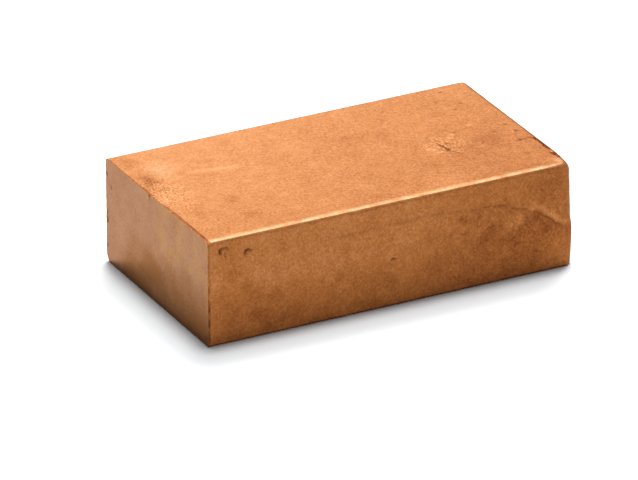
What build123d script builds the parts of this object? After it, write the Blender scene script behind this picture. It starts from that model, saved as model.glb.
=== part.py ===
from build123d import *
import os

# Overall size in millimetres, saw cut on the left and cast end on the right
block_length = 91.0
block_width = 50.0
block_height = 25.0

# Edge roundings that the mould left, the rim runs along the front, the corner and the cast end
rim_radius = 1.2
corner_radius = 2.5
edge_radius = 0.7
back_foot_radius = 2.0

# Cast end, where a lip of the first metal poured stands out below the rest
lip_height = 8.4
lip_rise = 3.6
lip_step = 0.4
lip_radius = 12.0
top_setback = 0.9

# Cold shut on the front, the line along which the second metal folded over the first
fold_tail_from_end = 23.2
fold_tail_below_top = 6.3
fold_crest_from_end = 19.0
fold_crest_below_top = 6.5
fold_knee_from_end = 15.2
fold_knee_below_top = 8.1
fold_brow_from_end = 9.9
fold_brow_below_top = 10.0
fold_slope_from_end = 6.8
fold_slope_below_top = 12.0
fold_foot_from_end = 3.0
fold_foot_below_top = 14.9
fold_past_end = 1.0
fold_past_below_top = 16.0

# Hollows in the first metal, just under the fold
deep_hollow_from_end = 8.4
deep_hollow_below_top = 13.6
deep_hollow_length = 12.0
deep_hollow_height = 7.0
deep_hollow_depth = 0.35
long_hollow_from_end = 15.5
long_hollow_below_top = 9.2
long_hollow_length = 18.0
long_hollow_height = 6.4
long_hollow_depth = 0.22

# Two crescent blow holes near the saw cut and a round one at the middle of the front
crescent_width = 2.1
crescent_height = 1.3
crescent_depth = 0.5
crescent_island_width = 1.5
crescent_island_drop = 0.3
high_crescent_from_saw = 4.1
high_crescent_below_top = 2.7
low_crescent_from_saw = 10.0
low_crescent_below_top = 4.5
middle_pit_width = 1.2
middle_pit_depth = 0.35
middle_pit_from_saw = 45.8
middle_pit_below_top = 14.0

# Shrinkage crack in the top, with a pit at its foot
crack_length = 5.2
crack_width = 0.6
crack_depth = 0.35
crack_lean = 16.0
crack_from_end = 21.6
crack_from_front = 20.8
crack_pit_from_end = 19.5
crack_pit_from_front = 16.5

# Small pits in the top near the cast end, the crack's pit is as large
top_pit_width = 0.9
top_pit_depth = 0.25
top_pits_from_end = (7.4, 6.2, 9.0, 11.2)
top_pits_from_back = (3.0, 10.5, 13.0, 7.5)

# Chips and one hole in the rim over the cast end, whose middle lies this share of its radius inwards
rim_chip_width = 0.9
rim_chips_from_front = (12.2, 14.8, 21.6)
rim_hole_width = 1.3
rim_hole_from_front = 6.6
rim_middle_share = 1 - 0.5 ** 0.5

# Chips along the sharp arrises of the saw cut
saw_chip_width = 0.7
saw_top_chip_from_back = 20.8
saw_back_chips_from_foot = (3.8, 10.1, 21.3)
saw_front_chips_from_foot = (5.5, 9.0, 14.5, 19.0)

# Places of the faces, with the origin under the middle of the block
sawn_face = -block_length / 2
lip_face = block_length / 2
front_face = -block_width / 2
back_face = block_width / 2
rim_face = lip_face - top_setback

# How near to its place the middle of an edge must lie to be taken for it
edge_reach = 0.01


def side_outline():
    """Outline seen from the front: square at the saw cut, a low lip at the cast end."""
    points = [
        (sawn_face, 0),
        (lip_face, 0),
        (lip_face, lip_height),
        (lip_face - lip_step, lip_height + lip_rise),
        (rim_face, block_height),
        (sawn_face, block_height),
    ]
    return make_face(Plane.XZ * Polyline(*points, close=True))


def edges_at(solid, y, z):
    """Edges whose middle lies at this depth and height."""
    found = []
    for edge in solid.edges():
        middle = edge.position_at(0.5)
        if abs(middle.Y - y) < edge_reach and abs(middle.Z - z) < edge_reach:
            found.append(edge)
    return found


def upright_corner(solid):
    """Edges that run up the corner between the front and the cast end."""
    found = []
    for edge in solid.edges().filter_by(Axis.Y, reverse=True):
        middle = edge.position_at(0.5)
        on_front = abs(middle.Y - front_face) < edge_reach
        if on_front and middle.X > rim_face - lip_step:
            found.append(edge)
    return found


def raw_block():
    """The side outline carried across the width, with the two creases of the lip softened."""
    block = extrude(side_outline(), block_width / 2, both=True)
    creases = edges_at(block, 0, lip_height) + edges_at(block, 0, lip_height + lip_rise)
    return fillet(creases, lip_radius)


def rounded_block():
    """The raw block with the roundings of its mould, while the saw cut stays sharp."""
    block = raw_block()
    block = fillet(edges_at(block, back_face, 0), back_foot_radius)
    block = fillet(upright_corner(block), corner_radius)
    block = fillet(edges_at(block, front_face, block_height), rim_radius)
    return fillet(edges_at(block, front_face, 0), edge_radius)


def oval(length, width, height):
    """A ball drawn out to these three sizes."""
    return scale(Sphere(0.5), by=(length, width, height))


def second_metal_edge():
    """Everything on the front that lies under the fold line, as a thin slab."""
    line = Spline(
        (lip_face - fold_tail_from_end, block_height - fold_tail_below_top),
        (lip_face - fold_crest_from_end, block_height - fold_crest_below_top),
        (lip_face - fold_knee_from_end, block_height - fold_knee_below_top),
        (lip_face - fold_brow_from_end, block_height - fold_brow_below_top),
        (lip_face - fold_slope_from_end, block_height - fold_slope_below_top),
        (lip_face - fold_foot_from_end, block_height - fold_foot_below_top),
        (lip_face + fold_past_end, block_height - fold_past_below_top),
    )
    below = Polyline(line @ 1, (lip_face + fold_past_end, 0), (lip_face - fold_tail_from_end, 0), line @ 0)
    slab = extrude(make_face(Plane.XZ * (line + below)), corner_radius, both=True)
    return Pos(0, front_face, 0) * slab


def fold_hollows():
    """Two shallow hollows that run into each other and end in a step at the fold line."""
    deep = oval(deep_hollow_length, 2 * deep_hollow_depth, deep_hollow_height)
    long = oval(long_hollow_length, 2 * long_hollow_depth, long_hollow_height)
    deep = Pos(lip_face - deep_hollow_from_end, front_face, block_height - deep_hollow_below_top) * deep
    long = Pos(lip_face - long_hollow_from_end, front_face, block_height - long_hollow_below_top) * long
    return (deep + long) & second_metal_edge()


def crescent(from_saw, below_top):
    """A blow hole with an island of metal standing in its lower half."""
    hole = oval(crescent_width, 2 * crescent_depth, crescent_height)
    island = oval(crescent_island_width, 4 * crescent_depth, crescent_height)
    shape = hole - Pos(0, 0, -crescent_island_drop) * island
    return Pos(sawn_face + from_saw, front_face, block_height - below_top) * shape


def front_pits():
    """The two crescents and the round pit at the middle of the front."""
    pit = oval(middle_pit_width, 2 * middle_pit_depth, middle_pit_width)
    pit = Pos(sawn_face + middle_pit_from_saw, front_face, block_height - middle_pit_below_top) * pit
    high = crescent(high_crescent_from_saw, high_crescent_below_top)
    low = crescent(low_crescent_from_saw, low_crescent_below_top)
    return [high, low, pit]


def shrinkage_crack():
    """A narrow groove in the top that leans towards the cast end, and the pit at its foot."""
    groove = Rot(0, 0, crack_lean) * oval(crack_width, crack_length, 2 * crack_depth)
    groove = Pos(lip_face - crack_from_end, front_face + crack_from_front, block_height) * groove
    pit = Pos(lip_face - crack_pit_from_end, front_face + crack_pit_from_front, block_height) * top_pit()
    return [groove, pit]


def top_pit():
    """A small round pit of the top skin."""
    return oval(top_pit_width, top_pit_width, 2 * top_pit_depth)


def small_top_pits():
    """The pits scattered over the top near the far corner of the cast end."""
    pits = []
    for from_end, from_back in zip(top_pits_from_end, top_pits_from_back):
        pits.append(Pos(lip_face - from_end, back_face - from_back, block_height) * top_pit())
    return pits


def rim_damage():
    """Chips and a deeper hole on the rounded rim over the cast end."""
    middle_of_rim = rim_radius * rim_middle_share
    x = rim_face - middle_of_rim
    z = block_height - middle_of_rim
    chips = [Pos(x, front_face + y, z) * Sphere(rim_chip_width / 2) for y in rim_chips_from_front]
    return chips + [Pos(x, front_face + rim_hole_from_front, z) * Sphere(rim_hole_width / 2)]


def saw_chips():
    """Small chips on the sharp arrises round the saw cut."""
    chip = Sphere(saw_chip_width / 2)
    chips = [Pos(sawn_face, back_face - saw_top_chip_from_back, block_height) * chip]
    for height in saw_back_chips_from_foot:
        chips.append(Pos(sawn_face, back_face, height) * chip)
    for height in saw_front_chips_from_foot:
        chips.append(Pos(sawn_face, front_face, height) * chip)
    return chips


def bronze_block():
    """One solid casting, sawn off at one end."""
    block = rounded_block()
    block = block - fold_hollows()
    for cut in front_pits() + shrinkage_crack() + small_top_pits():
        block = block - cut
    for cut in rim_damage() + saw_chips():
        block = block - cut
    return block


os.makedirs("parts", exist_ok=True)
block = bronze_block()
block.label = "bronze_block"
export_step(block, "parts/bronze_block.step")
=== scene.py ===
import math

import bmesh
import bpy
import numpy as np
from mathutils import Matrix, Vector, noise


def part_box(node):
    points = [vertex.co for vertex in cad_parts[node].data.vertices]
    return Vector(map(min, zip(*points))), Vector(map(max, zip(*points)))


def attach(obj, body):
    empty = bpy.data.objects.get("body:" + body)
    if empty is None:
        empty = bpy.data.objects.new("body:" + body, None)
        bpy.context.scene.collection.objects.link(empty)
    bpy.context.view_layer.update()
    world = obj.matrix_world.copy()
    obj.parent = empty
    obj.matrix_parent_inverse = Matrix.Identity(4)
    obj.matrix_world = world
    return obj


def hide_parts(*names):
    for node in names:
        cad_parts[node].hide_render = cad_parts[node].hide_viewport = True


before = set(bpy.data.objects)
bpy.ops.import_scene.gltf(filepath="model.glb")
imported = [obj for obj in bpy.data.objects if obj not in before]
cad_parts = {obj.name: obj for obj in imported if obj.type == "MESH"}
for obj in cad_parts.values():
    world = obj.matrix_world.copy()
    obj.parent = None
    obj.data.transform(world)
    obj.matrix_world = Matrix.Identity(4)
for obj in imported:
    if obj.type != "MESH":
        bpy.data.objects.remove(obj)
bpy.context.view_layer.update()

# Sizes are in millimetres, measured from the sawn end, from the front and from the foot
MM = 0.001
NODE = "bronze_block"
low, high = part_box(NODE)
LENGTH, WIDTH, HEIGHT = ((b - a) / MM for a, b in zip(low, high))

# Roundings that the mould left, while the sawn end has none
RIM_ROUND = 1.2
FRONT_RIM_ROUND = 0.22
EDGE_ROUND = 0.7
FRONT_FOOT_ROUND = 0.35
BACK_FOOT_ROUND = 2.0
CORNER_ROUND = 2.5
BACK_CORNER_ROUND = 1.4

# How far from the back's upright corner its rims turn with it, and the width over which one
# rounding passes into the next
BACK_REACH = 2.2
TURN_WIDTH = 3.0

# Slump of the top's near corner at the cast end, and how far it reaches
CORNER_SLUMP = 1.3
SLUMP_REACH = 7.0

# Fall of the top towards the front rim, and how far back it starts
RIM_SAG = 0.17
SAG_WIDTH = 4.5

# Cast end: the lip of the first metal, and how far the top and the foot stand back from it
LIP_HEIGHT = 8.4
LIP_RISE = 3.6
LIP_STEP = 0.4
TOP_SETBACK = 0.9
FOOT_SETBACK = 0.35

# Room that the skin keeps inside the mould's faces, with more at the cast end
SKIN_ROOM = 0.05
SAW_ROOM = 0.02
CAST_END_ROOM = 0.03

# Heights of the skin's relief, with more lumps and grain at the cast end
WAVE_HEIGHT = 0.035
LUMP_HEIGHT = 0.012
GRAIN_HEIGHT = 0.008
CAST_END_LUMPS = 0.04
CAST_END_GRAIN = 0.02

# Share of the relief that the foot keeps, and how deep below a face its relief fades out
FOOT_SHARE = 0.5
FADE = 4.0

# Nicks along the arrises of the saw cut
NICK_DEPTH = 0.14
NICK_REACH = 0.5

# Mesh lines, close together beside an edge and wider apart on the faces
FINE_STEP = 0.16
WIDE_STEP = 0.8
FINE_REACH = 1.3

# How near to a face a place counts as on it, and how far a zone reaches out of the box
SKIN = 0.01
OVER = 1.0
TOP = HEIGHT - SKIN
ABOVE = HEIGHT + OVER
ARRIS = 0.9

# Zones with small damage, as low and high corners, cut finer in turn, so that an inner zone is finest
DAMAGE_ZONES = {
    "top arris of the saw cut": ((0, -OVER, HEIGHT - ARRIS), (ARRIS, WIDTH + OVER, ABOVE)),
    "front arris of the saw cut": ((0, -OVER, -OVER), (ARRIS, ARRIS, ABOVE)),
    "back arris of the saw cut": ((0, WIDTH - ARRIS, -OVER), (ARRIS, WIDTH + OVER, ABOVE)),
    "rough patch at the saw cut": ((ARRIS, 20, TOP), (11, 48, ABOVE)),
    "front": ((ARRIS, -OVER, 2), (LENGTH - 3, SKIN, 23.6)),
    "rough patch round the crack": ((63, 11, TOP), (77, 29, ABOVE)),
    "rim over the cast end": ((84, 3, 23.4), (LENGTH + OVER, 29, ABOVE)),
    "pits at the far corner": ((77, 35, TOP), (88, 49, ABOVE)),
    "cold fold": ((64, -OVER, 8), (LENGTH - 3, SKIN, 20)),
    "nick": ((44.4, -OVER, 9.8), (47, SKIN, 12.2)),
    "high crescent": ((2.2, -OVER, 19.4), (5.9, SKIN, 23.3)),
    "low crescent": ((8.4, -OVER, 19.2), (11.9, SKIN, 22.1)),
    "crack": ((67.6, 15.2, TOP), (72.2, 24.6, ABOVE)),
    "broken rim": ((86.5, 4.4, 23.4), (LENGTH + OVER, 18.5, ABOVE)),
}


def grid_lines(length):
    """Places of the mesh lines along one side, from 0 to length."""
    places = [0.0]
    while places[-1] < length / 2:
        past_edge = max(places[-1] - FINE_REACH, 0)
        places.append(places[-1] + min(WIDE_STEP, FINE_STEP * (1 + past_edge)))
    stretch = length / 2 / places[-1]
    half = [p * stretch for p in places]
    return half + [length - p for p in reversed(half[:-1])]


def edges_along(bm, axis):
    """Edges of a box that run along one axis."""
    found = []
    for edge in bm.edges:
        span = edge.verts[1].co - edge.verts[0].co
        if abs(span[axis]) > 0.5 * span.length:
            found.append(edge)
    return found


def gridded_box():
    """A box from the origin to (LENGTH, WIDTH, HEIGHT), cut along its mesh lines."""
    bm = bmesh.new()
    bmesh.ops.create_cube(bm, size=1.0, matrix=Matrix.Translation((0.5, 0.5, 0.5)))
    for axis, length in enumerate((LENGTH, WIDTH, HEIGHT)):
        places = grid_lines(length)
        cuts = len(places) - 2
        bmesh.ops.subdivide_edges(bm, edges=edges_along(bm, axis), cuts=cuts, use_grid_fill=True)
        for vert in bm.verts:
            vert.co[axis] = places[round(vert.co[axis] * (cuts + 1))]
    return bm


def cut_finer(bm, zone_low, zone_high):
    """Cuts every face of a zone into four."""
    edges = set()
    for face in bm.faces:
        middle = face.calc_center_median()
        if all(a <= m <= b for a, m, b in zip(zone_low, middle, zone_high)):
            edges.update(face.edges)
    bmesh.ops.subdivide_edges(bm, edges=list(edges), cuts=1, use_grid_fill=True)


def box_mesh():
    """The square box with all its mesh lines, its sawn end in a finish of its own and sharply edged."""
    bm = gridded_box()
    for zone_low, zone_high in DAMAGE_ZONES.values():
        cut_finer(bm, zone_low, zone_high)
    for face in bm.faces:
        face.smooth = True
        face.material_index = int(face.calc_center_median().x < SKIN)
    for edge in bm.edges:
        edge.smooth = len({face.material_index for face in edge.link_faces}) == 1
    mesh = bpy.data.meshes.new(NODE + "_cast")
    bm.to_mesh(mesh)
    bm.free()
    return mesh


# Rounded form

def near(distance, reach):
    """1 at no distance and 0 from this reach on."""
    return np.clip(1 - distance / reach, 0, 1)


def rounded(a, b, radius):
    """Makes the square corner between two faces round, for points at distances a and b from them."""
    u, v = radius - a, radius - b
    both = (u > 0) & (v > 0)
    scale = np.where(both, np.maximum(u, v) / np.hypot(np.where(both, u, 1), v), 1)
    return np.where(both, radius - u * scale, a), np.where(both, radius - v * scale, b)


def moved_in(distance, nearest, moved, reach):
    """A wall's distance once the nearest wall's has changed, so that a rim turns an upright corner."""
    in_corner = (distance < reach) & (nearest < reach)
    pull = (reach - moved) / np.where(in_corner, reach - nearest, 1)
    out_of_corner = np.where(distance == nearest, moved, distance)
    return np.where(in_corner, reach - (reach - distance) * pull, out_of_corner)


def rim_rounded(end, side, depth, radius, reach):
    """Rounds the rim between the walls and the top or the foot, round the upright corner too."""
    nearest = np.minimum(end, side)
    moved, depth = rounded(nearest, depth, radius)
    return moved_in(end, nearest, moved, reach), moved_in(side, nearest, moved, reach), depth


def end_setback(z):
    """How far the cast end stands back from its lip at each height."""
    step_top = LIP_HEIGHT + LIP_RISE
    climb = np.clip((z - LIP_HEIGHT) / LIP_RISE, 0, 1)
    step = LIP_STEP * climb * climb * (3 - 2 * climb)
    lean = (TOP_SETBACK - LIP_STEP) * np.clip((z - step_top) / (HEIGHT - step_top), 0, 1)
    undercut = FOOT_SETBACK * near(z, LIP_HEIGHT) ** 1.5
    return step + lean + undercut


def mould_form(x, y, z):
    """Moves points of the square box to the rounded form of the mould."""
    end, front, back = LENGTH - x, y, WIDTH - y
    by_back = back < front
    side = np.where(by_back, back, front)
    share = np.clip((end - side) / TURN_WIDTH + 0.5, 0, 1)
    reach = np.where(by_back, BACK_REACH, CORNER_ROUND)
    top_radius = RIM_ROUND + (np.where(by_back, EDGE_ROUND, FRONT_RIM_ROUND) - RIM_ROUND) * share
    top_radius += CORNER_SLUMP * near(np.hypot(end, front), SLUMP_REACH)
    foot_radius = EDGE_ROUND + (np.where(by_back, BACK_FOOT_ROUND, FRONT_FOOT_ROUND) - EDGE_ROUND) * share
    end, side, depth = rim_rounded(end, side, HEIGHT - z, top_radius, reach)
    end, side, z = rim_rounded(end, side, HEIGHT - depth, foot_radius, reach)
    end, side = rounded(end, side, np.where(by_back, BACK_CORNER_ROUND, CORNER_ROUND))
    x = (LENGTH - end) * (LENGTH - end_setback(z)) / LENGTH
    return x, np.where(by_back, WIDTH - side, side), z


# Relief and colouring of the skin

# Part of a groove's length over which it tapers out, at each end
TAPER = 0.25

# How far inside an edge the dark line along its rim lies, painted shade below the front rim and a plain
# dark line along the far rims
RIM_LINE = 0.45


def field(points, size, shift):
    """Smooth noise from about -1 to 1 over points in millimetres, its lumps about this size."""
    origin = Vector((shift, shift * 0.7, shift * 1.3))
    return np.array([noise.noise(Vector(p) / size + origin) for p in points])


class SkinNoise:
    """The noise of the skin at every point, from its long waves down to its grain."""

    def __init__(self, points):
        self.waves = 0.6 * field(points, 26, 3.0) + 0.3 * field(points, 9, 11.0)
        self.lumps = field(points, 2.4, 5.0)
        self.grain = field(points, 0.9, 7.0)
        self.fine = field(points, 1.5, 21.0)
        self.fine_up = field(points, 1.5, 31.0)


def hump(u, v, centre, radii, turn=0.0):
    """1 at a centre and falling smoothly to 0 at an ellipse round it."""
    c, s = math.cos(math.radians(turn)), math.sin(math.radians(turn))
    du, dv = u - centre[0], v - centre[1]
    r2 = ((du * c + dv * s) / radii[0]) ** 2 + ((dv * c - du * s) / radii[1]) ** 2
    return np.clip(1 - r2, 0, 1) ** 2


def spots(u, v, places):
    """Round humps at places given with their radius."""
    return sum(hump(u, v, (a, b), (radius, radius)) for a, b, radius in places)


def patches(u, v, places):
    """Humps at places given with their radii, turn and weight."""
    return sum(weight * hump(u, v, centre, radii, turn) for centre, radii, turn, weight in places)


def way_to(u, v, line):
    """Distance to a line of points, the side of it (1 on its left), and the share run along it."""
    best = np.full_like(u, 1e9)
    side = np.zeros_like(u)
    along = np.zeros_like(u)
    spans = list(zip(line, line[1:]))
    for i, ((u0, v0), (u1, v1)) in enumerate(spans):
        du, dv = u1 - u0, v1 - v0
        t = np.clip(((u - u0) * du + (v - v0) * dv) / (du * du + dv * dv), 0, 1)
        away = np.hypot(u - u0 - t * du, v - v0 - t * dv)
        closer = away < best
        best = np.where(closer, away, best)
        side = np.where(closer, np.sign(du * (v - v0) - dv * (u - u0)), side)
        along = np.where(closer, (i + t) / len(spans), along)
    return best, side, along


def groove(u, v, line, width):
    """1 on a line of points, falling off to its sides and tapering to both of its ends."""
    away, _, along = way_to(u, v, line)
    taper = np.clip(along / TAPER, 0, 1) * np.clip((1 - along) / TAPER, 0, 1)
    return np.exp(-((away / width) ** 2)) * taper ** 0.5


def grooves(u, v, lines):
    """Grooves along lines that are given with their width and weight."""
    return sum(weight * groove(u, v, line, width) for line, width, weight in lines)


# What each kind of mark brings: depth in millimetres, darkness of its grime or of painted shade, and tone,
# with more than 0 for paler metal or a painted highlight and less than 0 for duller metal or painted shade
KINDS = {
    # Blow holes are dark partly with grime and partly with painted shade under their upper walls
    "blow hole": (0.24, 0.65, 0),
    "island": (-0.05, 0, 0.3),
    "witness line": (0.03, 0.22, 0),
    "front blotch": (0, 0, -0.5),
    # Painted shade: a dark line below the front rim's highlight
    "painted shade below the rim": (0, 0.3, 0),
    "fold line": (0, 0.36, 0),
    "fold step": (0.10, 0.14, 0),
    "fold hollow": (0.20, 0, -0.4),
    # Painted highlight on the fold's flank, and painted shade on its slope
    "fold flank highlight": (-0.06, 0, 1.1),
    "shaded fold slope": (0.06, 0, -0.6),
    "fold blotch": (0, 0, -0.8),
    "stroke": (0.04, 0.18, 0),
    "crease": (0, 0.55, 0),
    "crumpled lumps": (0.06, 0, 0.5),
    "crumpled grain": (0, 0, 0.6),
    # Painted shade beside the scar below the fold
    "scar": (0, 0.3, 0),
    "crack": (0.20, 0.6, -1.2),
    "fine crack": (0.06, 0.7, -1.0),
    "pit": (0.07, 0.45, -0.6),
    # Bumps are raised, and their paler tone is a painted highlight
    "bump": (-0.10, 0, 1.4),
    "broken rim": (0.22, 1.4, 0),
    "scratch": (0.08, 0.45, 0),
    "far rim": (0, 0.6, 0),
    "ridge": (-0.02, 0, 0),
    "ridge sheen": (0, 0, 1.5),
    "rough lumps": (0.03, 0, 0),
    "rough skin": (0, 0, 0.15),
    "haze": (0, 0, 0.2),
    "stain": (0, 0, -1.2),
    "top blotch": (0, 0, -0.45),
    "paler": (0, 0, 1),
}


def mark(kind, share):
    """Depth, darkness and tone that one kind of mark brings, in full where its share is 1."""
    return np.multiply.outer(KINDS[kind], share)


# Front: places are along and up it, lines are given with their width and weight, spots with their radius,
# and ellipses with their centre, radii and turn in degrees

# How far the front's marks wander from their lines
WANDER = 0.45

# Two crescent blow holes, the upper one with a tail, and a nick at the middle; the crescents' dark arcs
# are partly grime and partly painted shade under each hole's upper wall
HIGH_CRESCENT = [(3.1, 21.2), (2.95, 21.9), (3.3, 22.45), (3.95, 22.65), (4.7, 22.45), (5.2, 22.0)]
HIGH_TAIL = [(4.2, 22.2), (4.3, 21.4), (4.6, 20.0)]
LOW_CRESCENT = [(9.5, 19.7), (9.2, 20.4), (9.35, 21.1), (9.9, 21.4), (10.5, 21.2), (10.9, 20.6)]
NICK = [(45.0, 10.8), (45.35, 11.2), (45.8, 11.3), (46.3, 10.8)]
BLOW_HOLES = [(HIGH_CRESCENT, 0.34, 1), (LOW_CRESCENT, 0.36, 1), (HIGH_TAIL, 0.24, 0.6), (NICK, 0.24, 1.1)]
CRESCENT_PITS = [(3.1, 21.9, 0.6), (9.5, 20.9, 0.8)]
HIGH_ISLAND = (4.0, 21.8), (0.9, 0.6)
LOW_ISLAND = (10.1, 20.4), (0.9, 0.7)

# Witness lines of the mould
UPPER_LINE = [(24, 19.9), (32, 19.4), (47, 19.5), (55, 19.7), (62, 19.1), (67, 18.7)]
LOWER_LINE = [(52, 13.4), (57.6, 14.3), (60.3, 13.7), (65, 13.5)]
WITNESS_LINES = [(UPPER_LINE, 0.3, 1), (LOWER_LINE, 0.3, 0.8)]

# Cold fold: its line, which starts here and grows over a few millimetres, and how its step falls off
FOLD = [(65, 18.0), (67.8, 18.9), (69.5, 18.8), (72, 18.5), (75.8, 16.9), (78.6, 15.9), (81.1, 15.0),
        (84.2, 13.0), (86.9, 10.9), (88.2, 9.9), (91, 9.2)]
FOLD_WIDTH = 0.32
FOLD_START = 64
FOLD_GROWTH = 4
STEP_FALL = 1.2

# Below the fold a hollow that ends at a scar with painted shade beside it, above it a flank paler with a
# painted highlight, and to its left a slope with painted shade
FOLD_HOLLOW = (82.6, 11.4), (6.0, 4.4), -33
SCAR = [(79.4, 14.9), (78.4, 13.0), (78.7, 9.8)]
SCAR_WIDTH = 0.6
SCAR_SHADOW = (79.2, 13.2), (0.9, 1.4), 20
FOLD_FLANK = [(79.6, 16.6), (81.1, 16.3), (83.4, 15.0), (85.4, 13.4), (87.2, 11.7), (89.2, 9.9)]
FLANK_WIDTH = 0.8
FOLD_SLOPE = [(71.0, 14.6), (68.6, 13.4), (67.5, 11.9), (66.4, 10.4)]
SLOPE_FALL = 2.0
SLOPE_MIDDLE = (69, 12.5)
SLOPE_REACH = 6

# Crumpled skin round the fold, with its creases, strokes and blotches
CRUMPLED = (76, 13.5), (17, 9), -8
CREASE_WIDTH = 0.16
CURL = [(86.9, 14.4), (86.5, 13.7), (87.2, 13.0), (87.9, 13.3), (87.5, 12.4)]
LONG_STROKE = [(73.6, 20.4), (73.8, 19.4), (73.7, 18.7)]
SHORT_STROKE = [(76.3, 22.8), (76.5, 21.0)]
FOLD_STROKES = [(CURL, 0.25, 1), (LONG_STROKE, 0.3, 1), (SHORT_STROKE, 0.3, 1)]
FOLD_BLOTCHES = [(69.6, 13.0, 2.0), (70.9, 12.0, 1.8), (65.1, 16.4, 2.6), (66.9, 17.1, 2.0),
                 (73.6, 19.6, 1.2), (75.7, 8.3, 2.2), (77.5, 8.6, 1.5), (75.1, 10.2, 1.5),
                 (63.5, 13.3, 1.6), (67.0, 11.5, 1.8), (71.8, 10.6, 1.6), (81.6, 13.2, 2.2),
                 (81.1, 5.6, 1.0), (62.6, 17.4, 1.8)]

# Tone of the front: along it, up it (darker towards the foot and paler higher up, painted shade of the
# floor's shadow that the front mirrors), in patches with their weight, and in blotches
FRONT_TONE_ALONG = (0, 2.5, 6, 14, 50, 66, 84, 91), (0.2, 0, -0.2, 0.05, -0.1, -0.5, -0.65, -0.6)
FRONT_SHADE_UP = (0, 3, 10, 14, 25), (-0.45, -0.45, -0.15, 0.25, 0.25)
FRONT_PATCHES = [((88, 3), (10, 8), 0, 0.8), ((75.6, 13.3), (4.0, 2.6), 0, 0.6),
                 ((85, 21), (10, 6), 0, -0.4)]
FRONT_BLOTCHES = [(11.5, 9.7, 3.0), (12.5, 5.2, 3.5), (16.4, 9.1, 3.0), (6.7, 16.1, 3.2), (9.6, 12.6, 2.5),
                  (21.3, 4.2, 4.0), (15.9, 3.0, 4.5), (32.1, 9.8, 1.8), (45.0, 6.0, 3.0), (56.0, 8.0, 3.5)]


def blow_holes(x, z):
    """Two crescents round their islands, and the nick at the middle of the front, dark partly with grime
    and partly with painted shade.
    """
    # The crescents' darkness is partly grime and partly painted shade under each hole's upper wall
    holes = grooves(x, z, BLOW_HOLES) + 0.6 * spots(x, z, CRESCENT_PITS)
    islands = hump(x, z, *HIGH_ISLAND) + hump(x, z, *LOW_ISLAND)
    return mark("blow hole", holes) + mark("island", islands)


def cold_fold(x, z, lumps):
    """The step where the second metal folded over the first, with the hollow under it, a painted highlight
    on the flank above it, and painted shade on the slope to its left and by the scar.
    """
    away, side, _ = way_to(x, z, FOLD)
    under = np.clip(-side, 0, 1) * np.clip((x - FOLD_START) / FOLD_GROWTH, 0, 1)
    scar_away, scar_side, _ = way_to(x, z, SCAR)
    past_scar = np.clip(0.5 + scar_side * scar_away / SCAR_WIDTH, 0, 1)
    slope_away, slope_side, _ = way_to(x, z, FOLD_SLOPE)
    by_slope = near(np.hypot(x - SLOPE_MIDDLE[0], z - SLOPE_MIDDLE[1]), SLOPE_REACH)

    marks = mark("fold step", under * np.exp(-away / STEP_FALL))
    marks += mark("fold hollow", under * hump(x, z, *FOLD_HOLLOW) * past_scar)
    # Painted highlight on the flank above the fold
    marks += mark("fold flank highlight", (1 - under) * groove(x, z, FOLD_FLANK, FLANK_WIDTH))
    # Painted shade on the slope to the fold's left
    marks += mark("shaded fold slope", np.clip(slope_side, 0, 1) * np.exp(-slope_away / SLOPE_FALL) * by_slope)
    marks += mark("fold line", groove(x, z, FOLD, FOLD_WIDTH) * np.clip(0.6 + lumps, 0, 1))
    # Painted shade beside the scar
    return marks + mark("scar", hump(x, z, *SCAR_SHADOW))


def crumpled_skin(x, z, skin):
    """Wrinkles, strokes and dull blotches round the cold fold."""
    crumpled = hump(x, z, *CRUMPLED)
    veins = near(abs(skin.fine + 0.5 * skin.lumps), CREASE_WIDTH) * np.clip(0.3 + 2 * skin.fine_up, 0, 1)
    broken_up = np.clip(0.5 + skin.fine + skin.fine_up, 0, 1.4)

    marks = mark("crease", crumpled ** 0.5 * veins) + mark("stroke", grooves(x, z, FOLD_STROKES))
    marks += mark("crumpled lumps", crumpled * skin.lumps) + mark("crumpled grain", crumpled * skin.fine)
    return marks + mark("fold blotch", spots(x, z, FOLD_BLOTCHES) * broken_up)


def front_marks(x, z, skin):
    """Depth, darkness and tone of the front."""
    x, z = x + WANDER * skin.fine, z + WANDER * skin.fine_up
    # The tone up the front is painted shade: darker towards the foot, where the front mirrors the floor's
    # shadow
    tone = np.interp(x, *FRONT_TONE_ALONG) + np.interp(z, *FRONT_SHADE_UP) + patches(x, z, FRONT_PATCHES)

    marks = blow_holes(x, z) + cold_fold(x, z, skin.lumps) + crumpled_skin(x, z, skin)
    marks += mark("witness line", grooves(x, z, WITNESS_LINES))
    # Painted shade: a dark line below the front rim's highlight
    marks += mark("painted shade below the rim", near(abs(HEIGHT - RIM_LINE - z), 0.5))
    return marks + mark("paler", tone) + mark("front blotch", spots(x, z, FRONT_BLOTCHES))


# Top: places are along it and back from the front, and given as on the front

# Shrinkage crack with its tail and the scratches beside it
CRACK = [(68.8, 23.2), (69.2, 22.2), (69.3, 20.9), (69.7, 19.8), (69.6, 18.7), (70.1, 17.5)]
CRACK_WIDTH = 0.3
CRACK_TAIL = [(70.2, 17.8), (70.3, 17.2), (70.9, 16.4), (71.7, 15.5), (71.9, 15.2)]
FINE_CRACKS = [(CRACK_TAIL, 0.25, 0.6), ([(69.1, 24.2), (70.4, 24.2)], 0.2, 0.5),
               ([(70.4, 22.9), (71.5, 22.0)], 0.2, 0.5)]

# Broken rim over the cast end
RIM_BREAK = [(88.9, 17.0), (89.6, 15.8), (89.8, 14.4), (90.0, 12.6), (89.8, 11.4), (90.0, 10.0),
             (89.9, 8.4)]
RIM_HOLE = [(89.4, 7.3), (89.6, 6.4), (89.8, 5.4), (89.9, 4.0)]
BROKEN_RIM = [(RIM_BREAK, 0.28, 0.9), (RIM_HOLE, 0.42, 1.5)]
RIM_SCRATCH = [(85.3, 16.0), (86.2, 15.9), (87.4, 16.3), (89.2, 16.2)]
SCRATCH_WIDTH = 0.22
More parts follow.
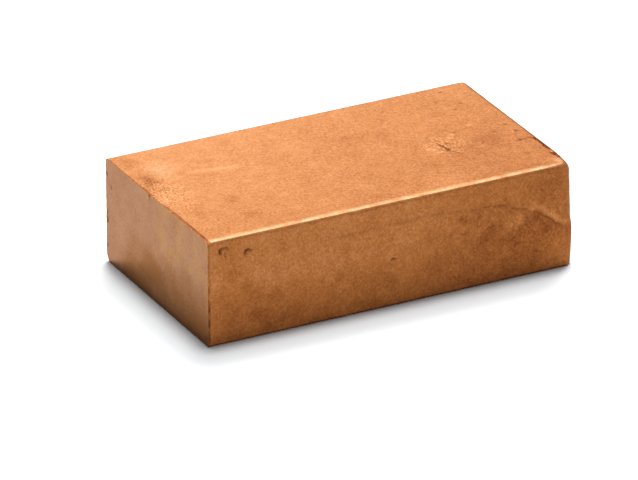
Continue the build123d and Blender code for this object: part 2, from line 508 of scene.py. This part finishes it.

# Small pits and bumps, the bumps' paler tone a painted highlight on their raised tops, and a low ridge
# whose sheen is narrower than itself
TOP_PITS = [(82.8, 46.8, 0.8), (79.3, 42.5, 0.7), (84.0, 39.6, 0.8), (81.4, 37.1, 0.7), (88.1, 20.9, 0.8),
            (86.6, 16.4, 0.9), (87.5, 25.0, 0.7), (84.5, 9.2, 0.7), (71.0, 21.9, 0.7), (83.1, 22.8, 0.7),
            (82.3, 18.3, 0.6), (69.9, 18.8, 0.8), (75.2, 26.2, 0.7), (77.6, 31.0, 0.5), (72.4, 12.0, 0.6)]
BUMPS = [(66.8, 20.0, 1.0), (65.8, 20.6, 0.8), (66.7, 18.4, 0.9), (67.7, 18.4, 0.8), (74.1, 25.3, 0.8),
         (72.8, 24.4, 0.7), (70.3, 22.7, 0.6), (75.0, 13.0, 0.6), (80.1, 28.2, 0.5), (79.9, 19.2, 0.6),
         (87.1, 20.5, 0.5), (73.4, 27.0, 0.7)]
RIDGE = [(12.5, 35.0), (16.9, 33.8), (25.0, 32.4)]
RIDGE_WIDTH = 0.8
SHEEN_WIDTH = 0.5

# Skin of the top: its rough, hazy and worn patches
HAZE = (8.0, 38.5), (5.0, 7.5)
ROUGH_PATCHES = [((3.5, 27), (7, 13), 0, 1.9), ((70, 21.5), (8, 7), 0, 1.2)]
WORN_CORNER = (88.6, 2.4), (1.8, 2.6)

# Tone of the top: along it, back over it, in patches and stains with their weight, and in blotches
TOP_TONE_ALONG = (0, 18, 35, 50, 65, 80, 91), (0.2, 0.25, 0.1, -0.15, -0.2, -0.4, -0.4)
TOP_TONE_BACK = (0, WIDTH), (-0.4, 0.4)
TOP_PATCHES = [((58, 3), (18, 9), 0, 0.3)]
TOP_STAINS = [((2.9, 35.0), (4.8, 7.8), 5, 1.0), ((1.6, 30.6), (3.0, 4.2), 0, 0.8),
              ((2.4, 45.6), (4.6, 6.5), 0, 0.8), ((2.6, 34.6), (1.6, 1.8), 0, 0.5)]
TOP_BLOTCHES = [(27.4, 45.5, 2.5), (34.7, 32.4, 3.5), (10.8, 35.4, 1.6), (15.4, 18.0, 3.0),
                (15.9, 9.2, 3.0), (5.5, 13.0, 2.5), (52.0, 33.0, 5.0), (80.7, 20.0, 5.0)]


def cracks(x, y, grain):
    """The shrinkage crack, jagged by the grain, with its tail and the scratches beside it."""
    jagged = groove(x + 0.3 * grain, y, CRACK, CRACK_WIDTH)
    return mark("crack", jagged) + mark("fine crack", grooves(x, y, FINE_CRACKS))


def far_rims(x, y, skin):
    """The broken rim over the cast end, and the dark line that both far rims show."""
    jagged = x + 0.2 * skin.lumps + 0.25 * skin.grain
    rims = near(abs(LENGTH - TOP_SETBACK - x), 0.45) + near(abs(WIDTH - RIM_LINE - y), 0.3)
    marks = mark("broken rim", grooves(jagged, y, BROKEN_RIM)) + mark("far rim", rims)
    return marks + mark("scratch", groove(x, y, RIM_SCRATCH, SCRATCH_WIDTH))


def top_marks(x, y, skin, coarse, haze):
    """Depth, darkness and tone of the top."""
    stained = patches(x, y, TOP_STAINS) * np.clip(0.9 + 0.6 * skin.lumps, 0, 1.2)
    tone = np.interp(x, *TOP_TONE_ALONG) + np.interp(y, *TOP_TONE_BACK) + patches(x, y, TOP_PATCHES)

    marks = cracks(x, y, skin.grain) + far_rims(x, y, skin)
    # The bumps' paler tone is a painted highlight on their raised tops
    marks += mark("pit", spots(x, y, TOP_PITS)) + mark("bump", spots(x, y, BUMPS))
    marks += mark("ridge", groove(x, y, RIDGE, RIDGE_WIDTH))
    marks += mark("ridge sheen", groove(x, y, RIDGE, SHEEN_WIDTH))
    marks += mark("rough lumps", coarse * skin.lumps) + mark("rough skin", coarse) + mark("haze", haze)
    marks += mark("stain", stained) + mark("top blotch", spots(x, y, TOP_BLOTCHES))
    return marks + mark("paler", tone)


# Sawn end: places are back from the front and up it, and given as on the front

# Chips, specks, streaks and a drop of grime near the foot
END_CHIPS = [(49.5, 21.3, 0.8), (47.4, 18.7, 0.5), (49.5, 10.3, 1.1), (49.6, 12.1, 0.8), (49.6, 4.0, 0.7),
             (28.3, 24.8, 0.7), (49.7, 16.0, 0.5)]
END_SPECKS = [(37.3, 17.4, 0.45), (35.3, 17.8, 0.4), (25.6, 14.9, 0.35), (14.2, 23.3, 0.4)]
END_STREAKS = [([(28.3, 25.2), (28.0, 24.2), (28.0, 22.6)], 0.3, 0.35),
               ([(34.6, 5.6), (31.0, 5.0), (26.9, 4.7)], 0.3, 0.35)]
END_DROP = (1.0, 1.9), (0.9, 1.2), 40

# Tone of the sawn end: plain, in stains with their weight, and in the darker lower part that it has up to
# this height and back to a leaning line, with the widths over which both fade out; that darker lower part
# is painted shade, the floor's shadow as the sawn end mirrors it
END_TONE = 0.35
END_STAINS = [((28, 8), (7, 5.5), 20, 0.8), ((9, 9), (6, 9), -30, 0.3), ((46, 20), (5, 6), 0, 0.15),
              ((33, 17), (5, 5), 0, 0.2), ((4, 4), (6, 5), 0, 0.2), ((39, 3), (8, 5), 20, 0.3)]
SHADED_TOP = 15
SHADED_TOP_FADE = 9
SHADED_BACK = 46
SHADED_BACK_FADE = 7
SHADED_LEAN = 0.4

# Pinker part of the sawn end, from where it starts to where it is full
PINK_START = 22
PINK_FULL = 38

# Burr of the saw: its width and the strength of its edge back along the top, its strength up the
# corner, and the darkness and dullness that it brings
BURR_WIDTH = (0, 18, 21, 26, 30, 33, 50), (0.9, 0.95, 0.5, 0.3, 0.7, 0.35, 0.4)
BURR_EDGE = (0, 5, 10, 15, 22, 36, 50), (1, 1.3, 1.3, 0.8, 0.4, 0.4, 0.5)
CORNER_BURR = (0, 2, 12, 15, 25), (1.2, 1.2, 1.0, 0.45, 0.3)
BURR_DARK = 0.8
BURR_TONE = -0.9

# Darkness and tone of the sides that carry no marks of their own
PLAIN_DARK = 0.25
PLAIN_TONE = -0.3

# Worn front rim, whose paler metal is also a painted highlight: how far back its middle lies, how wide it
# is, and where it ends along the block
WORN_MIDDLE = 0.75
WORN_REACH = 1.25
WORN_ALONG = (0, 86, 89), (1, 1, 0)


def end_marks(y, z, skin):
    """Darkness and tone of the sawn end: chips, specks, faint streaks, stains, burred arrises, and painted
    shade towards the foot.
    """
    ragged = np.clip(2.2 * skin.grain + skin.lumps + 0.3, 0, 1)
    dark = 1.5 * spots(y, z, END_CHIPS) + 0.8 * spots(y, z, END_SPECKS) + 0.5 * hump(y, z, *END_DROP)
    # Darkening over the lowest 9 mm and a dark line along the foot: painted shade
    dark += grooves(y, z, END_STREAKS) + 0.14 * near(z, 9)
    dark += 0.6 * near(WIDTH - y, 0.6) * ragged + 0.5 * near(z, 0.5)
    # The darker lower part is painted shade, the floor's shadow as the sawn end mirrors it
    dull = np.clip((SHADED_TOP - z) / SHADED_TOP_FADE, 0, 1)
    dull *= np.clip((SHADED_BACK - y - SHADED_LEAN * z) / SHADED_BACK_FADE, 0, 1)
    return dark, END_TONE + 0.12 * skin.lumps - 0.92 * dull - patches(y, z, END_STAINS)


def burrs(x, y, z, skin):
    """How far the saw's burr shows on the top and on the front."""
    width = np.interp(y, *BURR_WIDTH) + 0.12 * skin.lumps
    strength = np.interp(y, *BURR_EDGE) * np.clip(0.7 + skin.fine, 0, 1)
    on_top = 0.45 * np.clip((width - x) / 0.2, 0, 1) + 0.6 * strength * near(abs(x - width + 0.15), 0.3)
    up_corner = np.interp(z, *CORNER_BURR) * np.clip(0.75 + 1.2 * skin.fine, 0, 1)
    on_front = up_corner * near(abs(x - 0.25), 0.45 + 0.3 * np.clip(skin.lumps + skin.grain, 0, 1))
    return on_top, on_front


def worn_rim_and_sheen(x, y, z, skin, haze, on_top):
    """Where the metal is worn bright: along the front rim, where it is also a painted highlight, at its
    corner and thinly on the top.
    """
    rim = near(np.hypot(y - WORN_MIDDLE, 4 * (HEIGHT - z)), WORN_REACH) * np.interp(x, *WORN_ALONG)
    rim = rim * np.clip(0.9 + 0.8 * skin.lumps, 0.3, 1.3)
    return np.maximum(rim, (0.1 + 0.3 * haze + 0.5 * hump(x, y, *WORN_CORNER)) * on_top)


def shaped_points(points):
    """The cast and sawn form for every point of the square box, and how each place is coloured."""
    x, y, z = points.T
    skin = SkinNoise(points)
    haze = hump(x, y, *HAZE)
    coarse = patches(x, y, ROUGH_PATCHES) + 0.4 * haze
    front_depth, front_dark, front_tone = front_marks(x, z, skin)
    top_depth, top_dark, top_tone = top_marks(x, y, skin, coarse, haze)
    end_dark, end_tone = end_marks(y, z, skin)

    base = SKIN_ROOM + WAVE_HEIGHT * skin.waves + LUMP_HEIGHT * skin.lumps + GRAIN_HEIGHT * skin.grain
    nicks = NICK_DEPTH * near(x, NICK_REACH) * np.clip(2.5 * skin.grain - 0.35, 0, 1)
    cast_end = base + CAST_END_ROOM + CAST_END_LUMPS * skin.lumps + CAST_END_GRAIN * skin.grain
    new_x, new_y, new_z = mould_form(x, y, z)
    new_z -= near(HEIGHT - z, FADE) * (base + top_depth + nicks) - near(z, FADE) * base * FOOT_SHARE
    new_y += near(y, FADE) * (base + front_depth + nicks) - near(WIDTH - y, FADE) * (base + nicks)
    new_x += near(x, FADE) * SAW_ROOM - near(LENGTH - x, FADE) * cast_end

    on_end, on_front, on_top = x < SKIN, (y < SKIN) & (x >= SKIN), (z > TOP) & (x >= SKIN)
    faces = [on_top, on_front, on_end]
    burr = np.select(faces[:2], burrs(x, y, z, skin), 0.0)
    # Darkness of grime, and of painted shade below the front rim, in the crescents, by the scar and at the
    # sawn end's foot
    hollow = np.select(faces, [top_dark, front_dark, end_dark], PLAIN_DARK) + BURR_DARK * burr
    tone = np.select(faces, [top_tone, front_tone, end_tone], PLAIN_TONE) + BURR_TONE * burr
    marks = {
        "hollow": np.clip(hollow, 0, 1),
        "tone": np.clip(tone, -1.4, 1.4),
        "worn": worn_rim_and_sheen(x, y, z, skin, haze, on_top) * np.clip(1 - 2 * burr, 0, 1),
        "pink": np.clip((y - PINK_START) / (PINK_FULL - PINK_START), 0, 1) * on_end,
        "sag": 1 - near(y, SAG_WIDTH) ** 4 * (1 + 0.4 * skin.lumps),
        "coarse": np.clip((coarse + 0.15) * on_top, 0, 2),
    }
    return np.stack([new_x, new_y, new_z], 1), marks


def cast_block():
    """The block's mesh in its place, in metres, with its marks as attributes."""
    mesh = box_mesh()
    flat = np.empty(len(mesh.vertices) * 3)
    mesh.vertices.foreach_get("co", flat)
    points, marks = shaped_points(flat.reshape(-1, 3))
    points = np.clip(points, 0, (LENGTH, WIDTH, HEIGHT)) * MM + np.array(low)
    mesh.vertices.foreach_set("co", points.ravel())
    for name, values in marks.items():
        mesh.attributes.new(name, "FLOAT", "POINT").data.foreach_set("value", values)
    mesh.update()
    piece = bpy.data.objects.new(NODE + "_cast", mesh)
    bpy.context.collection.objects.link(piece)
    return piece


# Finishes

class Nodes:
    """The nodes of a material or the world, with short ways to add and join them."""

    def __init__(self, owner, shader="Principled BSDF", place="Object"):
        owner.use_nodes = True
        self.owner = owner
        self.tree = owner.node_tree
        self.shader = self.tree.nodes[shader]
        self.place = self.add("ShaderNodeTexCoord").outputs[place]

    def add(self, kind, inputs=(), **settings):
        node = self.tree.nodes.new(kind)
        for key, value in settings.items():
            setattr(node, key, value)
        for key, value in dict(inputs).items():
            self.put(value, node.inputs[key])
        return node

    def put(self, value, socket):
        if isinstance(value, bpy.types.NodeSocket):
            self.tree.links.new(value, socket)
        else:
            socket.default_value = value

    def mark(self, name):
        """A value that the mesh carries."""
        return self.add("ShaderNodeAttribute", attribute_name=name).outputs["Fac"]

    def math(self, operation, *values, clamp=False):
        node = self.add("ShaderNodeMath", operation=operation, use_clamp=clamp)
        for value, socket in zip(values, node.inputs):
            self.put(value, socket)
        return node.outputs[0]

    def ramp(self, value, start, stop, low=0.0, high=1.0):
        inputs = {"Value": value, "From Min": start, "From Max": stop, "To Min": low, "To Max": high}
        return self.add("ShaderNodeMapRange", inputs, clamp=True).outputs["Result"]

    def mix(self, share, first, second):
        node = self.add("ShaderNodeMix", data_type="RGBA")
        for value, socket in ((share, 0), (first, 6), (second, 7)):
            self.put(value, node.inputs[socket])
        return node.outputs[2]

    def seen(self):
        """1 where the camera looks at a place itself, and 1 where it does so in metal or through glass."""
        path = self.add("ShaderNodeLightPath").outputs
        beyond = self.math("ADD", path["Is Glossy Ray"], path["Is Transmission Ray"], clamp=True)
        first = self.math("LESS_THAN", path["Diffuse Depth"], 0.5)
        return path["Is Camera Ray"], self.math("MULTIPLY", beyond, first)

    def grain(self, size, detail=2.0, roughness=0.5, place=None):
        """Noise whose spots are about this many millimetres wide."""
        inputs = {"Vector": place or self.place, "Scale": 1 / (size * MM)}
        inputs.update({"Detail": detail, "Roughness": roughness})
        return self.add("ShaderNodeTexNoise", inputs).outputs["Fac"]

    def bump(self, height, rise, below=None):
        inputs = {"Height": height, "Distance": rise * MM, "Strength": 1.0}
        if below:
            inputs["Normal"] = below
        return self.add("ShaderNodeBump", inputs).outputs["Normal"]


# Colours of the metal as seen straight on in plain white light; the pale colour also paints highlights,
# the dull colours also paint shade, the worn rim colour is partly a painted highlight, the glint colour
# paints glints and the grime colour also paints shade
CAST_BRONZE = (0.432, 0.159, 0.042, 1)
CAST_PALE_AND_SHEEN = (0.62, 0.272, 0.110, 1)
CAST_DULL_AND_SHADE = (0.25, 0.072, 0.0185, 1)
WORN_RIM_AND_SHEEN = (0.60, 0.372, 0.205, 1)
GRIME_AND_SHADE = (0.10, 0.028, 0.010, 1)
PAINTED_GLINT = (0.70, 0.43, 0.20, 1)
SAWN_BRONZE = (0.435, 0.236, 0.122, 1)
SAWN_PINK = (0.405, 0.216, 0.150, 1)
SAWN_DULL_AND_SHADE = (0.262, 0.103, 0.043, 1)

# How the metal keeps its colour where it is seen at a slant
CLEAN_SLANT = (1, 1, 1, 1)
DULL_SLANT = (0.93, 0.58, 0.5, 1)
SAWN_SLANT = (1.0, 0.8, 0.6, 1)


def cast_skin():
    """As-cast bronze: orange, finely grained, with painted glints for its sparkle, paler and duller in
    patches.
    """
    n = Nodes(bpy.data.materials.new("cast_skin"))
    clouds = n.ramp(n.grain(11, 3), 0.3, 0.7, -0.18, 0.18)
    mottle = n.ramp(n.grain(2.6, 3), 0.25, 0.75, -0.25, 0.25)
    coarse = n.mark("coarse")
    gritty = n.ramp(coarse, 0.0, 2.0, 0.6, 1.7)
    speckle = n.math("MULTIPLY", n.ramp(n.grain(0.55, 2, 0.8), 0.3, 0.7, -1.1, 1.1), gritty)
    tone = n.math("ADD", n.math("ADD", n.mark("tone"), speckle), n.math("ADD", clouds, mottle))
    dull = n.ramp(tone, 0.0, -1.5)
    # Painted glints: pale dots that stand in for the sparkle of the skin's facets catching the lamps
    painted_glints = n.math("MULTIPLY", n.ramp(n.grain(0.5, 1), 0.58, 0.72), n.ramp(coarse, 0.0, 2.0, 0.15, 1.0))
    # Worn metal, paler along the front rim also as a painted highlight
    worn = n.math("MULTIPLY", n.mark("worn"), n.ramp(n.grain(0.8, 2), 0.3, 0.6, 0.5, 1.0))
    # Grime, together with the painted shade that the marks carry
    ragged = n.math("MULTIPLY", n.mark("hollow"), n.ramp(n.grain(0.8, 3), 0.25, 0.6, 0.55, 1.25))
    grime = n.math("MINIMUM", ragged, 0.93)

    colour = n.mix(n.ramp(tone, 0.0, 1.5), CAST_BRONZE, CAST_PALE_AND_SHEEN)
    colour = n.mix(dull, colour, CAST_DULL_AND_SHADE)
    colour = n.mix(painted_glints, colour, PAINTED_GLINT)
    colour = n.mix(worn, colour, WORN_RIM_AND_SHEEN)
    n.put(n.mix(grime, colour, GRIME_AND_SHADE), n.shader.inputs["Base Color"])
    n.put(n.mix(n.math("MAXIMUM", grime, dull), CLEAN_SLANT, DULL_SLANT), n.shader.inputs["Specular Tint"])
    n.shader.inputs["Metallic"].default_value = 1.0
    n.put(n.ramp(n.grain(1.6, 3), 0.3, 0.7, 0.50, 0.60), n.shader.inputs["Roughness"])
    normal = n.bump(n.mark("sag"), RIM_SAG)
    normal = n.bump(n.grain(1.2, 3), 0.03, normal)
    normal = n.bump(n.math("MULTIPLY", n.grain(0.55, 2), gritty), 0.035, normal)
    n.put(normal, n.shader.inputs["Normal"])
    return n.owner


def sawn_face():
    """Freshly sawn bronze: smooth and pale, with faint upright streaks."""
    n = Nodes(bpy.data.materials.new("sawn_face"))
    stretched = n.add("ShaderNodeMapping", {"Vector": n.place, "Scale": (1, 1, 0.25)}).outputs[0]
    streaks = n.ramp(n.grain(2.2, 2, place=stretched), 0.3, 0.7, -0.07, 0.07)
    clouds = n.ramp(n.grain(5, 3, 0.5), 0.3, 0.7, -0.25, 0.25)
    specks = n.ramp(n.grain(0.6, 2, 0.7), 0.3, 0.7, -0.38, 0.38)
    tone = n.math("ADD", n.math("ADD", n.mark("tone"), streaks), n.math("ADD", clouds, specks))
    pink = n.math("ADD", n.ramp(n.grain(4.5, 3, 0.5), 0.4, 0.6), n.mark("pink"), clamp=True)
    grime = n.math("MINIMUM", n.mark("hollow"), 0.85)

    colour = n.mix(pink, SAWN_BRONZE, SAWN_PINK)
    # Darker where the tone is low: stains and grain, and painted shade in the lower part
    colour = n.mix(n.ramp(tone, 0.6, -0.8), colour, SAWN_DULL_AND_SHADE)
    n.put(n.mix(grime, colour, GRIME_AND_SHADE), n.shader.inputs["Base Color"])
    n.shader.inputs["Specular Tint"].default_value = SAWN_SLANT
    n.shader.inputs["Metallic"].default_value = 1.0
    n.put(n.ramp(streaks, -0.07, 0.07, 0.19, 0.23), n.shader.inputs["Roughness"])
    n.put(n.bump(n.grain(0.6, 2), 0.003), n.shader.inputs["Normal"])
    return n.owner


# Studio

# Camera, turned and raised in degrees about its centre, with its distance and its aim's offset in metres
AZIMUTH = -27.56
ELEVATION = 25.05
ROLL = -0.122
DISTANCE = 1.7446
LENS = 445.9
CENTRE = Vector((-0.752, -0.264, 12.66)) * MM
AIM_LEFT = 4.33 * MM
AIM_DOWN = 6.32 * MM

# White room: the direction of its bright side, and how bright it is there and on the other side
BRIGHT_SIDE = (0.5, 0.866, 0.0)
ROOM_BRIGHT = 0.26
ROOM_DARK = 0.08

# How far the two lamps stand from the block, in metres
LAMP_DISTANCE = 2.5

# Floor as light finds it, as the block mirrors it and as the camera sees it
FLOOR_PAPER = (0.8, 0.8, 0.8, 1)
FLOOR_MIRRORED = (1.18, 1.18, 1.18, 1)
FLOOR_SEEN = (1.47, 1.5, 1.52, 1)


def camera():
    """A long lens, far off, that looks down on the front, the top and the sawn end."""
    data = bpy.data.cameras.new("camera")
    data.lens = LENS
    data.clip_start, data.clip_end = 0.05, 20
    cam = bpy.data.objects.new("camera", data)
    bpy.context.collection.objects.link(cam)
    a, e = math.radians(AZIMUTH), math.radians(ELEVATION)
    back = Vector((math.sin(a) * math.cos(e), -math.cos(a) * math.cos(e), math.sin(e)))
    cam.location = CENTRE + back * DISTANCE
    right = (-back).cross(Vector((0, 0, 1))).normalized()
    down = (-back).cross(right)
    aim = CENTRE - right * AIM_LEFT + down * AIM_DOWN
    turn = (aim - cam.location).to_track_quat("-Z", "Y")
    cam.rotation_mode = "QUATERNION"
    cam.rotation_quaternion = turn @ Matrix.Rotation(math.radians(ROLL), 3, "Z").to_quaternion()
    bpy.context.scene.camera = cam


def floor():
    """A wide pale floor that keeps the block's shadow."""
    bm = bmesh.new()
    bmesh.ops.create_grid(bm, x_segments=1, y_segments=1, size=6.0)
    mesh = bpy.data.meshes.new("floor")
    bm.to_mesh(mesh)
    bm.free()
    ground = bpy.data.objects.new("floor", mesh)
    bpy.context.collection.objects.link(ground)
    n = Nodes(bpy.data.materials.new("floor"))
    paper = n.add("ShaderNodeBsdfDiffuse")
    by_camera, in_metal = n.seen()
    colour = n.mix(in_metal, FLOOR_PAPER, FLOOR_MIRRORED)
    n.put(n.mix(by_camera, colour, FLOOR_SEEN), paper.inputs["Color"])
    n.put(paper.outputs[0], n.tree.nodes["Material Output"].inputs["Surface"])
    mesh.materials.append(n.owner)


def daylight():
    """A white room, whose light comes most from behind the block and from its right."""
    world = bpy.data.worlds.new("studio")
    bpy.context.scene.world = world
    n = Nodes(world, "Background", "Generated")
    toward = n.add("ShaderNodeVectorMath", {0: n.place, 1: BRIGHT_SIDE}, operation="DOT_PRODUCT")
    light = n.ramp(toward.outputs["Value"], -0.05, 0.6, ROOM_DARK, ROOM_BRIGHT)
    pick = n.add("ShaderNodeMix", {"Factor": n.math("ADD", *n.seen()), "A": light, "B": 1.0})
    n.put(pick.outputs[0], n.shader.inputs["Strength"])
    n.shader.inputs["Color"].default_value = (1, 1, 1, 1)


def softbox(name, toward, width, light):
    """A square lamp that lights the ground under it this much, a white ground at 1 would look white."""
    data = bpy.data.lights.new(name, "AREA")
    data.shape = "SQUARE"
    data.size = width * LAMP_DISTANCE
    data.energy = light * math.pi ** 2 * LAMP_DISTANCE ** 2
    lamp = bpy.data.objects.new(name, data)
    lamp.location = Vector(toward).normalized() * LAMP_DISTANCE
    lamp.rotation_euler = (-Vector(toward)).to_track_quat("-Z", "Y").to_euler()
    bpy.context.collection.objects.link(lamp)


block = cast_block()
block.data.materials.append(cast_skin())
block.data.materials.append(sawn_face())
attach(block, "root")
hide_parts(NODE)
camera()
floor()
daylight()
softbox("overhead", toward=(0.05, 0.077, 1), width=0.21, light=0.42)
softbox("behind", toward=(0.32, 0.426, 1), width=0.39, light=0.49)

view = bpy.context.scene.view_settings
view.view_transform = "Standard"
